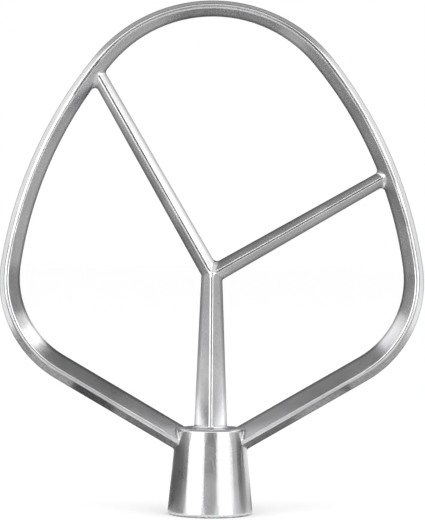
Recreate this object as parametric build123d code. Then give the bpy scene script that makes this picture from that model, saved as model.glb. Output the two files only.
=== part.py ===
"""Flat beater for a stand mixer: one aluminium casting that stands on the mouth of its hub.

X runs across the rim, Y from front to back and Z up along the drive shaft. The origin is the middle
of the hub's mouth. The casting is the same in front of and behind its parting plane at Y = 0, so
the front half is modelled and mirrored.
"""

import math
import os

from build123d import *

# Rim, outer outline in the parting plane
overall_height = 181.4
overall_width = 150.0
arm_foot_height = 15.4
top_radius = 54.3
side_radius = 155.0
corner_radius = 40.0
arm_angle = 30.2

# Rim, metal between the outer and the inner outline, and how much tighter the inner arcs are
rim_top_width = 5.6
rim_side_width = 7.1
arm_width = 8.6
top_tightening = 7.8
side_tightening = 13.0
corner_tightening = 8.4

# Rim, section across the parting plane
parting_land = 1.0
rim_outer_draft = 24.0
rim_inner_draft = 38.0
rim_ridge_bevel = 1.3

# Spokes and stem, which meet at one junction on the shaft's axis, at a share of the overall height
junction_share = 0.465
left_spoke_angle = 120.0
right_spoke_angle = 30.0
spoke_root_width = 6.5
spoke_tip_width = 5.3
stem_top_width = 7.4
stem_foot_width = 11.7
bar_draft = 49.0
bar_ridge_radius = 1.4
top_valley_radius = 3.0
right_valley_radius = 2.0
left_valley_radius = 1.5
spoke_bite = 1.5
spoke_end_fillet = 2.2

# Hub
hub_mouth_diameter = 30.2
hub_top_diameter = 24.4
hub_height = 30.4
hub_mouth_round = 1.2
hub_top_round = 1.2
hub_fillet = 1.1

# Blind bore for the drive shaft, and the bayonet groove for the shaft's cross pin
shaft_diameter = 12.7
shaft_clearance = 0.1
bore_depth = 26.0
bore_chamfer = 0.8
pin_diameter = 4.8
pin_reach = 10.7
pin_clearance = 0.2
pin_turn = 70.0
entry_angle = 90.0
groove_depth = 15.0
catch_drop = 2.5

half_land = parting_land / 2
arm_cosine = math.cos(math.radians(arm_angle))
bore_radius = shaft_diameter / 2 + shaft_clearance
junction_height = junction_share * overall_height
junction = Vector(0, 0, junction_height)
front = Vector(0, -1, 0)
stem_angle = -90.0
upright = (Align.CENTER, Align.CENTER, Align.MIN)
ahead = (Align.CENTER, Align.MAX, Align.CENTER)
standing = (Align.CENTER, Align.MAX, Align.MIN)
# Tells edges in front of the land from those that touch it
fuzz = 0.01
# Longer than the casting, for cuts that pass right through it
through = 2 * (overall_height + overall_width)


def tangent(angle):
    """Rise over run of a line at an angle in degrees."""
    return math.tan(math.radians(angle))


def heading(angle):
    """Unit vector in the parting plane, turned up from +X by an angle in degrees."""
    return Vector(math.cos(math.radians(angle)), 0, math.sin(math.radians(angle)))


def left_of(way):
    """Unit vector in the parting plane, a quarter turn left of another one."""
    return Vector(-way.Z, 0, way.X)


def rim_outline(apex, half_width, foot, top, side, corner):
    """Face inside a rim outline: top arc, side arcs, corner arcs and two arms that meet at a foot."""
    top_centre = Vector(0, 0, apex - top)
    corner_x = half_width - corner
    corner_centre = Vector(corner_x, 0, foot + corner_x * tangent(arm_angle) + corner / arm_cosine)
    # The side circle holds the top and corner circles and touches both
    gap = corner_centre - top_centre
    along = ((side - top) ** 2 - (side - corner) ** 2 + gap.length**2) / (2 * gap.length)
    across = math.sqrt((side - top) ** 2 - along**2)
    side_centre = top_centre + gap.normalized() * along - left_of(gap.normalized()) * across
    side_top = side_centre + (top_centre - side_centre).normalized() * side
    side_foot = side_centre + (corner_centre - side_centre).normalized() * side
    arm_top = corner_centre + heading(arm_angle - 90) * corner

    arm = Line((0, 0, foot), arm_top)
    corner_arc = TangentArc(arm_top, side_foot, tangent=heading(arm_angle))
    side_arc = TangentArc(side_foot, side_top, tangent=corner_arc % 1)
    right = [arm, corner_arc, side_arc]
    left = [mirror(edge, about=Plane.YZ) for edge in right]
    top_arc = ThreePointArc(side_top, (0, 0, apex), (-side_top.X, 0, side_top.Z))
    return make_face([*right, top_arc, *left])


def outer_outline():
    """Face inside the rim's outer outline."""
    return rim_outline(
        apex=overall_height,
        half_width=overall_width / 2,
        foot=arm_foot_height,
        top=top_radius,
        side=side_radius,
        corner=corner_radius,
    )


def inner_outline(grow):
    """Face inside the rim's inner outline, moved outwards all round by a distance."""
    return rim_outline(
        apex=overall_height - rim_top_width + grow,
        half_width=overall_width / 2 - rim_side_width + grow,
        foot=arm_foot_height + (arm_width - grow) / arm_cosine,
        top=top_radius - top_tightening + grow,
        side=side_radius - side_tightening + grow,
        corner=corner_radius - corner_tightening + grow,
    )


def in_front(shape):
    """Edges of a shape that lie wholly in front of the parting land."""
    return [edge for edge in shape.edges() if edge.bounding_box().max.Y < -half_land - fuzz]


def rim_front():
    """Rim and arms in front of the land: drafted outside and inside up to a bevelled ridge."""
    depth = max(rim_top_width, rim_side_width, arm_width) / tangent(rim_inner_draft)
    plate = extrude(Pos(0, -half_land, 0) * outer_outline(), amount=depth, taper=rim_outer_draft)
    mouth = Pos(0, -half_land - depth, 0) * inner_outline(depth * tangent(rim_inner_draft))
    rim = plate - extrude(mouth, amount=-depth, taper=rim_inner_draft)
    rim -= Box(2 * bore_radius, through, hub_height, align=upright)
    return chamfer(in_front(rim), rim_ridge_bevel)


def beside_bar(angle, length, near_width, far_width, side):
    """Space beside one drafted side of a bar that leaves the junction; side is +1 on its left."""
    way = heading(angle)
    near = junction + left_of(way) * side * near_width / 2
    far = junction + way * length + left_of(way) * side * far_width / 2
    run = (far - near).normalized()
    tilt = math.radians(bar_draft)
    facing = left_of(run) * side * math.cos(tilt) + front * math.sin(tilt)
    facet = Plane(origin=near + front * half_land, x_dir=run, z_dir=facing)
    return facet * Box(through, through, through, align=upright)


def valley(one_side, other_side, depth, radius):
    """Space between two bars, with its corner at the junction rounded."""
    slab = Pos(0, -half_land, 0) * Box(through, depth, through, align=ahead)
    space = one_side & other_side & slab
    crossing = [edge for edge in space.edges() if edge.bounding_box().size.Y > depth - fuzz]
    corner = ShapeList(crossing).sort_by_distance(junction)[0]
    return fillet(corner, radius)


def spoke_length(angle):
    """Distance from the junction to the rim's inner edge along a spoke."""
    centre_line = Line(junction, junction + heading(angle) * through)
    return (centre_line & inner_outline(0)).length


def bars_front():
    """Stem and spokes in front of the land: roof-shaped bars with rounded valleys and ridges."""
    depth = stem_foot_width / tangent(bar_draft)
    left_spoke = (left_spoke_angle, spoke_length(left_spoke_angle), spoke_root_width, spoke_tip_width)
    right_spoke = (right_spoke_angle, spoke_length(right_spoke_angle), spoke_root_width, spoke_tip_width)
    stem = (stem_angle, junction_height - hub_height, stem_top_width, stem_foot_width)
    bars = Pos(0, -half_land, 0) * Box(overall_width, depth - fuzz, overall_height, align=standing)
    bars -= valley(beside_bar(*left_spoke, -1), beside_bar(*right_spoke, 1), depth, top_valley_radius)
    bars -= valley(beside_bar(*right_spoke, -1), beside_bar(*stem, 1), depth, right_valley_radius)
    bars -= valley(beside_bar(*stem, -1), beside_bar(*left_spoke, 1), depth, left_valley_radius)
    bars = fillet(in_front(bars), bar_ridge_radius)
    return bars & extrude(Pos(0, -half_land, 0) * inner_outline(spoke_bite), amount=depth)


def frame_half():
    """Rim, stem and spokes from their front as far as the parting plane."""
    rim = rim_front()
    bars = bars_front()
    frame = rim + bars
    seams = [edge for edge in new_edges(rim, bars, combined=frame) if edge.center().Z > hub_height]
    frame = fillet([edge for edge in seams if edge.bounding_box().size.Y > fuzz], spoke_end_fillet)
    parting_face = frame.faces().filter_by(Axis.Y).sort_by(Axis.Y)[-1]
    return frame + extrude(parting_face, amount=half_land, dir=-front)


def hub_half():
    """Front half of the solid hub: a cone with a rounded mouth edge and a rounded top edge."""
    hub = Cone(hub_mouth_diameter / 2, hub_top_diameter / 2, hub_height, align=upright)
    hub = fillet(hub.edges().group_by(Axis.Z)[0], hub_mouth_round)
    hub = fillet(hub.edges().group_by(Axis.Z)[-1], hub_top_round)
    return hub & Box(through, through, through, align=ahead)


def casting_blank():
    """The whole casting before its bore is cut."""
    frame = frame_half()
    hub = hub_half()
    half = frame + hub
    seams = new_edges(frame, hub, combined=half)
    half = fillet([edge for edge in seams if edge.bounding_box().min.Y < -fuzz], hub_fillet)
    return half + mirror(half, about=Plane.XZ)


def bayonet_groove():
    """Path of the cross pin: in from the mouth, round by a part turn and back into a catch."""
    reach = pin_reach + pin_clearance
    width = pin_diameter + 2 * pin_clearance
    slot = (Align.MIN, Align.CENTER, Align.MAX)
    limit = Cylinder(reach, groove_depth, align=upright)
    entry = Rot(0, 0, entry_angle) * Box(reach, width, groove_depth, align=slot)
    catch = Rot(0, 0, entry_angle + pin_turn) * Box(reach, width, width + catch_drop, align=slot)
    turn = Cylinder(reach, width, arc_size=pin_turn, align=(Align.NONE, Align.NONE, Align.MAX))
    turn = Rot(0, 0, entry_angle) * turn
    return Pos(0, 0, groove_depth) * (entry + catch + turn) & limit


def shaft_bore():
    """Blind bore with a chamfered mouth."""
    mouth = Cone(bore_radius + bore_chamfer, bore_radius, bore_chamfer, align=upright)
    return Cylinder(bore_radius, bore_depth, align=upright) + mouth


beater_casting = casting_blank() - bayonet_groove() - shaft_bore()

os.makedirs("parts", exist_ok=True)
export_step(beater_casting, "parts/beater_casting.step")
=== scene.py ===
"""Flat beater for a stand mixer, finished as a tumbled and burnished aluminium casting.

The casting stands on the mouth of its hub, on a pale floor in front of a white surround. Grey and white
cards stand round it, out of the camera's sight, and give the metal its light and dark reflections.
"""

import math

import bmesh
import bpy
from mathutils import Matrix, Vector
from mathutils.kdtree import KDTree


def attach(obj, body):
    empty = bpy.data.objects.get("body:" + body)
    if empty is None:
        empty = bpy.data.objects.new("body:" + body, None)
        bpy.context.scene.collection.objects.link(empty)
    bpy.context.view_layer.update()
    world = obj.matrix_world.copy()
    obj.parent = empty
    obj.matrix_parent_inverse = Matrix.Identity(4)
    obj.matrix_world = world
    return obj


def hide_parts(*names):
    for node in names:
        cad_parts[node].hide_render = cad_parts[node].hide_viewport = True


# Photograph's view: where the camera stands, how wide it sees and how far the beater leans in the frame
CAMERA_DISTANCE = 0.780
CAMERA_HEIGHT = 0.0897
CAMERA_SIDESTEP = 0.0002
SEEN_HEIGHT = 0.1838
CAMERA_ROLL = 0.45
SENSOR_SIZE = 36.0

# Edges of the casting, as rubbed round by tumbling
MERGE_DISTANCE = 2e-6
SLIVER_LENGTH = 2e-5
FLAT_ANGLE = 0.6
RIDGE_CREASE = 50.0
RIDGE_ROUND = 0.00047
EDGE_CREASE = 24.0
EDGE_ROUND = 0.00022
ROUND_SEGMENTS = 5
# Creases in and round the hub stay as cast, up to a cut across each arm
HUB_REACH = 0.016
HUB_TOP = 0.036
SMOOTH_ANGLE = 32.0
# Shading is evened out along facets larger than this, between facets that meet at less than the angle
FACET_AREA = 7e-7
FACET_REACH = 0.008
FACET_BEND = 19.0
# A facet counts from spots this far inside its corners, or one part of the way to its middle if less
FACET_INSET = 0.001
INSET_PARTS = 3.0

# Burnished aluminium: texture scales per metre, depths in metres
DULL_METAL = (0.66, 0.66, 0.67, 1.0)
BRIGHT_METAL = (0.76, 0.76, 0.77, 1.0)
PIT_COLOUR = (0.16, 0.16, 0.17, 1.0)
SMOOTH_ROUGHNESS = 0.16
CLOUDY_ROUGHNESS = 0.25
CLOUD_SCALE = 70.0
CLOUD_DETAIL = 4.0
CLOUD_LOW = 0.3
CLOUD_HIGH = 0.7
WAVE_SCALE = 160.0
WAVE_DETAIL = 2.0
WAVE_DEPTH = 0.00005
GRAIN_SCALE = 1800.0
GRAIN_DETAIL = 3.0
GRAIN_DEPTH = 0.000007
PIT_SCALE = 1900.0
PIT_DETAIL = 2.0
PIT_EDGE = 0.70
PIT_FLOOR = 0.76
PIT_DEPTH = 0.00003
SPECKLE_SCALE = 2600.0
SPECKLE_DETAIL = 2.0
SPECKLE_EDGE = 0.50
SPECKLE_FLOOR = 0.62
# Scuffs on the hub, the most handled end: roughness added in full up to one height and not above another
HUB_ROUGHNESS = 0.08
HUB_SCUFF_TOP = 0.024
HUB_SCUFF_END = 0.036
# Painted shade along the parting line, standing in for the dark reflection at the outline: where it ends
# and fades out, measured from the parting plane
EDGE_SHADE_COLOUR = (0.34, 0.34, 0.35, 1.0)
EDGE_SHADE_END = 0.0007
EDGE_SHADE_FADE = 0.0016
# Arms' undersides, which the tumbling reached least: how far down they face, and up to what height
UNDERSIDE_STEEP = -0.60
UNDERSIDE_SHALLOW = -0.35
UNDERSIDE_TOP = 0.090
UNDERSIDE_FADE = 0.060

# Studio
BEATER_MIDDLE = Vector((0.0, 0.0, 0.09))
FLOOR_SIZE = 60.0
FLOOR_COLOUR = (0.995, 0.995, 0.995, 1.0)
FLOOR_ROUGHNESS = 0.9
SURROUND_COLOUR = (1.0, 1.0, 1.0, 1.0)
LAMP_DISTANCE = 0.90
CARD_DISTANCE = 0.80
# Softboxes and cards: name, clock, swing, width round the clock, length along the swing, brightness
SOFTBOXES = (
    ("left_softbox", 180.0, 40.0, 1.60, 0.94, 1.40),
    ("right_softbox", 0.0, 43.0, 1.60, 0.69, 1.40),
)
CARDS = (
    ("camera_card", 90.0, 15.5, 0.56, 0.33, 0.10),
    ("lens_card", 0.0, 0.0, 0.14, 0.72, 0.12),
    ("left_inner_fringe", 180.0, 20.5, 1.60, 0.07, 0.60),
    ("left_outer_fringe", 180.0, 70.0, 0.66, 0.10, 0.80),
    ("right_inner_fringe", 0.0, 23.0, 1.60, 0.07, 0.60),
    ("right_outer_fringe", 0.0, 65.0, 0.70, 0.10, 0.90),
    ("right_front_card", 0.0, 76.0, 0.70, 0.37, 0.52),
    ("right_back_card", 0.0, 106.0, 0.70, 0.48, 0.30),
    ("spoke_white_card", 29.0, 80.0, 0.32, 0.28, 1.50),
    ("corner_white_card", 41.0, 105.0, 0.20, 0.30, 2.20),
    ("upper_right_card", 63.0, 94.0, 0.50, 0.66, 0.15),
    ("upper_card", 90.0, 94.0, 0.44, 0.66, 0.17),
    ("upper_left_card", 115.0, 94.0, 0.48, 0.66, 0.25),
    ("upper_back_card", 90.0, 132.0, 1.00, 0.36, 0.42),
    ("left_light_card", 142.0, 94.0, 0.27, 0.62, 1.30),
    ("left_front_card", 180.0, 80.0, 0.66, 0.28, 0.48),
    ("left_back_card", 180.0, 104.0, 0.66, 0.40, 0.24),
    ("back_card", 0.0, 180.0, 0.56, 0.56, 0.14),
)
# Cards that lie on the floor: name, left and right end, front and back end, brightness
FLOOR_CARD_LIFT = 0.0004
FLOOR_CARDS = (
    ("floor_left_card", -0.90, -0.13, -0.07, 0.15, 0.27),
    ("floor_left_light_card", -0.13, -0.05, -0.07, 0.15, 0.52),
    ("floor_middle_card", -0.05, 0.05, 0.012, 0.15, 0.17),
    ("floor_right_card", 0.05, 0.90, -0.07, 0.15, 0.49),
    ("floor_near_card", -0.90, 0.90, -0.45, -0.07, 0.70),
)
# Low cards beside the hub: name, side, front and back end, brightness
HUB_CARD_TOP = 0.036
HUB_CARDS = (
    ("hub_left_card", -0.055, -0.028, 0.10, 0.10),
    ("hub_right_card", 0.055, -0.0105, 0.012, 0.10),
)


def deselect_all():
    """Leaves object mode with nothing selected."""
    if bpy.context.mode != "OBJECT":
        bpy.ops.object.mode_set(mode="OBJECT")
    bpy.ops.object.select_all(action="DESELECT")


def make_active(piece):
    """Selects one object alone and makes it the active one."""
    deselect_all()
    piece.select_set(True)
    bpy.context.view_layer.objects.active = piece


def keep_hub_crisp(mesh):
    """Takes the edges in and round the hub out of the selection."""
    creases = bmesh.from_edit_mesh(mesh)
    for edge in creases.edges:
        if all(abs(end.co.x) < HUB_REACH + MERGE_DISTANCE and end.co.z < HUB_TOP for end in edge.verts):
            edge.select_set(False)
    bmesh.update_edit_mesh(mesh)


def round_creases(mesh, crease, width, clamp):
    """Bevels the edges of the mesh in edit mode that are sharper than an angle in degrees."""
    bpy.ops.mesh.select_all(action="SELECT")
    bpy.ops.mesh.dissolve_degenerate(threshold=SLIVER_LENGTH)
    bpy.ops.mesh.select_all(action="DESELECT")
    bpy.ops.mesh.edges_select_sharp(sharpness=math.radians(crease))
    keep_hub_crisp(mesh)
    bpy.ops.mesh.bevel(offset=width, segments=ROUND_SEGMENTS, clamp_overlap=clamp)


def corner_spots(mesh, facets):
    """Spots just inside facets' corners, each with its facet's direction and a share of its area."""
    spots = []
    for facet in facets:
        share = facet.area / len(facet.vertices)
        for index in facet.vertices:
            corner = mesh.vertices[index].co
            inwards = facet.center - corner
            inset = min(FACET_INSET, inwards.length / INSET_PARTS)
            spots.append((corner + inwards.normalized() * inset, facet.normal, share))
    return spots


def search_tree(spots):
    """Tree that finds the corner spots near a place."""
    tree = KDTree(len(spots))
    for index, (place, _, _) in enumerate(spots):
        tree.insert(place, index)
    tree.balance()
    return tree


def even_shading(mesh):
    """Shades the long facets evenly, each corner by the facets of like direction within a short reach.

    The narrow strips between them take the shading of the facet beside them that is nearest their own.
    """
    facets = [facet for facet in mesh.polygons if facet.area > FACET_AREA]
    strips = [strip for strip in mesh.polygons if strip.area <= FACET_AREA]
    spots = corner_spots(mesh, facets)
    nearby = search_tree(spots)
    alike = math.cos(math.radians(FACET_BEND))
    normals = [corner.vector.copy() for corner in mesh.corner_normals]
    shaded = {}
    for facet in facets:
        for loop, vertex in zip(facet.loop_indices, facet.vertices):
            even = Vector()
            for _, index, distance in nearby.find_range(mesh.vertices[vertex].co, FACET_REACH):
                _, direction, share = spots[index]
                if direction.dot(facet.normal) > alike:
                    even += direction * share * (1 - distance / FACET_REACH)
            normals[loop] = even.normalized()
            shaded.setdefault(vertex, []).append(normals[loop])
    for strip in strips:
        for loop, vertex in zip(strip.loop_indices, strip.vertices):
            likely = [even for even in shaded.get(vertex, []) if even.dot(normals[loop]) > alike]
            if likely:
                normals[loop] = max(likely, key=normals[loop].dot)
    mesh.normals_split_custom_set(normals)


def burnish(cad):
    """Copy of the casting with its ridges and edges rubbed round."""
    make_active(cad)
    bpy.ops.object.duplicate()
    casting = bpy.context.active_object
    casting.name = "burnished_casting"
    casting.data.name = "burnished_casting"

    bpy.ops.object.mode_set(mode="EDIT")
    bpy.ops.mesh.select_mode(type="EDGE")
    bpy.ops.mesh.select_all(action="SELECT")
    bpy.ops.mesh.remove_doubles(threshold=MERGE_DISTANCE)
    bpy.ops.mesh.dissolve_limited(angle_limit=math.radians(FLAT_ANGLE))
    for reach in (HUB_REACH, -HUB_REACH):
        bpy.ops.mesh.select_all(action="SELECT")
        bpy.ops.mesh.bisect(plane_co=(reach, 0.0, 0.0), plane_no=(1.0, 0.0, 0.0))
    round_creases(casting.data, RIDGE_CREASE, RIDGE_ROUND, clamp=False)
    round_creases(casting.data, EDGE_CREASE, EDGE_ROUND, clamp=True)
    bpy.ops.object.mode_set(mode="OBJECT")

    bpy.ops.object.shade_smooth_by_angle(angle=math.radians(SMOOTH_ANGLE))
    bpy.ops.object.modifier_add(type="WEIGHTED_NORMAL")
    facets = casting.modifiers[-1]
    facets.mode = "FACE_AREA_WITH_ANGLE"
    facets.keep_sharp = True
    bpy.ops.object.modifier_apply(modifier=facets.name)
    even_shading(casting.data)
    return casting


def add_node(tree, kind, **settings):
    """Adds a node of a kind and sets its properties."""
    node = tree.nodes.new(kind)
    for name, value in settings.items():
        setattr(node, name, value)
    return node


def noise(tree, place, scale, detail):
    """Noise texture on a place socket, at a scale per metre."""
    texture = add_node(tree, "ShaderNodeTexNoise")
    texture.inputs["Scale"].default_value = scale
    texture.inputs["Detail"].default_value = detail
    tree.links.new(place, texture.inputs["Vector"])
    return texture.outputs["Fac"]


def remap(tree, value, low, high, to_low, to_high):
    """Clamped linear map of a value socket from one range to another."""
    mapped = add_node(tree, "ShaderNodeMapRange")
    for socket, number in zip(("From Min", "From Max", "To Min", "To Max"), (low, high, to_low, to_high)):
        mapped.inputs[socket].default_value = number
    tree.links.new(value, mapped.inputs["Value"])
    return mapped.outputs["Result"]


def combine(tree, operation, one, other):
    """Result of a math operation on two value sockets."""
    result = add_node(tree, "ShaderNodeMath", operation=operation)
    tree.links.new(one, result.inputs[0])
    tree.links.new(other, result.inputs[1])
    return result.outputs["Value"]


def axis_of(tree, vector, axis):
    """One component of a vector socket."""
    split = add_node(tree, "ShaderNodeSeparateXYZ")
    tree.links.new(vector, split.inputs["Vector"])
    return split.outputs[axis]


def stained_or_shaded(tree, colour, mask, stain_or_shade):
    """Colour socket that turns to a stain or painted shade colour where a mask is 1."""
    mix = add_node(tree, "ShaderNodeMix", data_type="RGBA")
    mix.inputs["B"].default_value = stain_or_shade
    tree.links.new(mask, mix.inputs["Factor"])
    tree.links.new(colour, mix.inputs["A"])
    return mix.outputs["Result"]


def relief(tree, height, depth, under=None, invert=False):
    """Normal socket with the relief of a height socket, on top of the relief under it."""
    bump = add_node(tree, "ShaderNodeBump", invert=invert)
    bump.inputs["Distance"].default_value = depth
    tree.links.new(height, bump.inputs["Height"])
    if under is not None:
        tree.links.new(under, bump.inputs["Normal"])
    return bump.outputs["Normal"]


def painted_edge_shade(tree, place):
    """Mask of the painted shade along the parting plane: 1 there, fading out to either side of it."""
    distance = add_node(tree, "ShaderNodeMath", operation="ABSOLUTE")
    tree.links.new(axis_of(tree, place, "Y"), distance.inputs[0])
    return remap(tree, distance.outputs["Value"], EDGE_SHADE_END, EDGE_SHADE_FADE, 1.0, 0.0)


def underside(tree, place, direction):
    """Mask that is 1 on the arms' undersides and 0 elsewhere on the casting."""
    steep = remap(tree, axis_of(tree, direction, "Z"), UNDERSIDE_STEEP, UNDERSIDE_SHALLOW, 1.0, 0.0)
    low = remap(tree, axis_of(tree, place, "Z"), UNDERSIDE_FADE, UNDERSIDE_TOP, 1.0, 0.0)
    return combine(tree, "MULTIPLY", steep, low)


def burnished_aluminium():
    """Cast aluminium, tumbled bright: cloudy sheen, fine cast grain, slow waves and small open pits."""
    material = bpy.data.materials.new("burnished_aluminium")
    material.use_nodes = True
    tree = material.node_tree
    metal = tree.nodes["Principled BSDF"]
    metal.inputs["Metallic"].default_value = 1.0
    coordinates = add_node(tree, "ShaderNodeTexCoord")
    place = coordinates.outputs["Object"]

    clouds = noise(tree, place, CLOUD_SCALE, CLOUD_DETAIL)
    grain = noise(tree, place, GRAIN_SCALE, GRAIN_DETAIL)
    waves = noise(tree, place, WAVE_SCALE, WAVE_DETAIL)
    pits = remap(tree, noise(tree, place, PIT_SCALE, PIT_DETAIL), PIT_EDGE, PIT_FLOOR, 0.0, 1.0)
    specks = noise(tree, place, SPECKLE_SCALE, SPECKLE_DETAIL)
    specks = remap(tree, specks, SPECKLE_EDGE, SPECKLE_FLOOR, 0.0, 1.0)
    arms = underside(tree, place, coordinates.outputs["Normal"])
    pits = combine(tree, "MAXIMUM", pits, combine(tree, "MULTIPLY", specks, arms))

    tone = add_node(tree, "ShaderNodeMix", data_type="RGBA")
    tone.inputs["A"].default_value = DULL_METAL
    tone.inputs["B"].default_value = BRIGHT_METAL
    tree.links.new(remap(tree, clouds, CLOUD_LOW, CLOUD_HIGH, 0.0, 1.0), tone.inputs["Factor"])
    pitted = stained_or_shaded(tree, tone.outputs["Result"], pits, PIT_COLOUR)
    # Painted shade along the parting line darkens the outline in place of a dark reflection
    edge_shaded = stained_or_shaded(tree, pitted, painted_edge_shade(tree, place), EDGE_SHADE_COLOUR)
    tree.links.new(edge_shaded, metal.inputs["Base Color"])

    sheen = remap(tree, clouds, CLOUD_LOW, CLOUD_HIGH, SMOOTH_ROUGHNESS, CLOUDY_ROUGHNESS)
    scuffs = remap(tree, axis_of(tree, place, "Z"), HUB_SCUFF_TOP, HUB_SCUFF_END, HUB_ROUGHNESS, 0.0)
    tree.links.new(combine(tree, "ADD", sheen, scuffs), metal.inputs["Roughness"])

    wavy = relief(tree, waves, WAVE_DEPTH)
    grainy = relief(tree, grain, GRAIN_DEPTH, under=wavy)
    tree.links.new(relief(tree, pits, PIT_DEPTH, under=grainy, invert=True), metal.inputs["Normal"])
    return material


def plain_material(name, colour):
    """Matt material of one colour for the floor."""
    material = bpy.data.materials.new(name)
    material.use_nodes = True
    matt = material.node_tree.nodes["Principled BSDF"]
    matt.inputs["Base Color"].default_value = colour
    matt.inputs["Roughness"].default_value = FLOOR_ROUGHNESS
    return material


def card_material(tone):
    """Evenly lit card of a brightness, where 1 is white."""
    material = bpy.data.materials.new("card_tone")
    material.use_nodes = True
    tree = material.node_tree
    tree.nodes.remove(tree.nodes["Principled BSDF"])
    glow = add_node(tree, "ShaderNodeEmission")
    glow.inputs["Strength"].default_value = tone
    tree.links.new(glow.outputs["Emission"], tree.nodes["Material Output"].inputs["Surface"])
    return material


def facing(clock, swing, distance):
    """Placement at a distance from the beater's middle, turned to face it.

    Clock is counted in degrees up from the right as the camera sees it; swing is the angle away from the
    camera, so 0 is behind the camera, 90 is beside the beater and 180 is behind it.
    """
    sideways = Vector((math.cos(math.radians(clock)), 0, math.sin(math.radians(clock))))
    towards_camera = Vector((0, -1, 0))
    outwards = sideways * math.sin(math.radians(swing)) + towards_camera * math.cos(math.radians(swing))
    across = towards_camera.cross(sideways).normalized()
    turned = Matrix((across, outwards.cross(across), -outwards)).transposed().to_4x4()
    return Matrix.Translation(BEATER_MIDDLE + outwards * distance) @ turned


def show_only_in_metal(piece):
    """Leaves an object to be seen in reflections alone."""
    piece.visible_camera = False
    piece.visible_diffuse = False
    piece.visible_transmission = False
    piece.visible_volume_scatter = False
    piece.visible_shadow = False


def add_card(name, placement, width, length, tone):
    """Flat card that the metal reflects, out of the camera's sight."""
    deselect_all()
    bpy.ops.mesh.primitive_plane_add(size=1.0)
    card = bpy.context.active_object
    card.name = name
    card.matrix_world = placement @ Matrix.Diagonal((width, length, 1.0, 1.0))
    card.data.materials.append(card_material(tone))
    show_only_in_metal(card)


def add_softbox(name, placement, width, length, brightness):
    """Soft rectangular lamp of a brightness, where 1 reflects as white."""
    deselect_all()
    bpy.ops.object.light_add(type="AREA")
    lamp = bpy.context.active_object
    lamp.name = name
    lamp.data.shape = "RECTANGLE"
    lamp.data.size = width
    lamp.data.size_y = length
    lamp.data.energy = brightness * math.pi * width * length
    lamp.matrix_world = placement @ Matrix.Rotation(math.pi, 4, "Y")
    lamp.visible_camera = False


def build_studio():
    """White surround, pale floor, two softboxes and the cards that shape the reflections."""
    world = bpy.data.worlds.new("white_surround")
    world.use_nodes = True
    bpy.context.scene.world = world
    surround = world.node_tree.nodes["Background"]
    surround.inputs["Color"].default_value = SURROUND_COLOUR
    surround.inputs["Strength"].default_value = 1.0

    deselect_all()
    bpy.ops.mesh.primitive_plane_add(size=FLOOR_SIZE)
    floor = bpy.context.active_object
    floor.name = "floor"
    floor.data.materials.append(plain_material("pale_floor", FLOOR_COLOUR))

    for name, clock, swing, width, length, brightness in SOFTBOXES:
        add_softbox(name, facing(clock, swing, LAMP_DISTANCE), width, length, brightness)
    for name, clock, swing, width, length, tone in CARDS:
        add_card(name, facing(clock, swing, CARD_DISTANCE), width, length, tone)
    for name, left, right, front, back, tone in FLOOR_CARDS:
        middle = Vector(((left + right) / 2, (front + back) / 2, FLOOR_CARD_LIFT))
        add_card(name, Matrix.Translation(middle), right - left, back - front, tone)
    for name, side, front, back, tone in HUB_CARDS:
        middle = Vector((side, (front + back) / 2, HUB_CARD_TOP / 2))
        upended = Matrix.Translation(middle) @ Matrix.Rotation(math.radians(90), 4, "Y")
        add_card(name, upended, HUB_CARD_TOP, back - front, tone)


def set_camera():
    """Camera at the photograph's viewing angle."""
    deselect_all()
    bpy.ops.object.camera_add()
    camera = bpy.context.active_object
    camera.name = "camera"
    camera.data.sensor_width = SENSOR_SIZE
    camera.data.lens = SENSOR_SIZE * CAMERA_DISTANCE / SEEN_HEIGHT
    camera.matrix_world = (
        Matrix.Translation((CAMERA_SIDESTEP, -CAMERA_DISTANCE, CAMERA_HEIGHT))
        @ Matrix.Rotation(math.radians(90), 4, "X")
        @ Matrix.Rotation(math.radians(CAMERA_ROLL), 4, "Z")
    )
    bpy.context.scene.camera = camera


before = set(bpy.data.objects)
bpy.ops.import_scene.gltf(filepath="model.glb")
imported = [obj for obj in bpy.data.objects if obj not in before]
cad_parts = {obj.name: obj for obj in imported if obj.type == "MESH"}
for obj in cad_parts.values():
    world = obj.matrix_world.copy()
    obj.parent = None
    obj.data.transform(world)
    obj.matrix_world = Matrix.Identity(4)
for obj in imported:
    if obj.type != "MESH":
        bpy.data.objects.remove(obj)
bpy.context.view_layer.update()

beater_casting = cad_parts["beater_casting"]
casting = burnish(beater_casting)
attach(casting, "root")
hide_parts("beater_casting")
casting.data.materials.clear()
casting.data.materials.append(burnished_aluminium())
build_studio()
set_camera()
bpy.context.scene.view_settings.view_transform = "Standard"
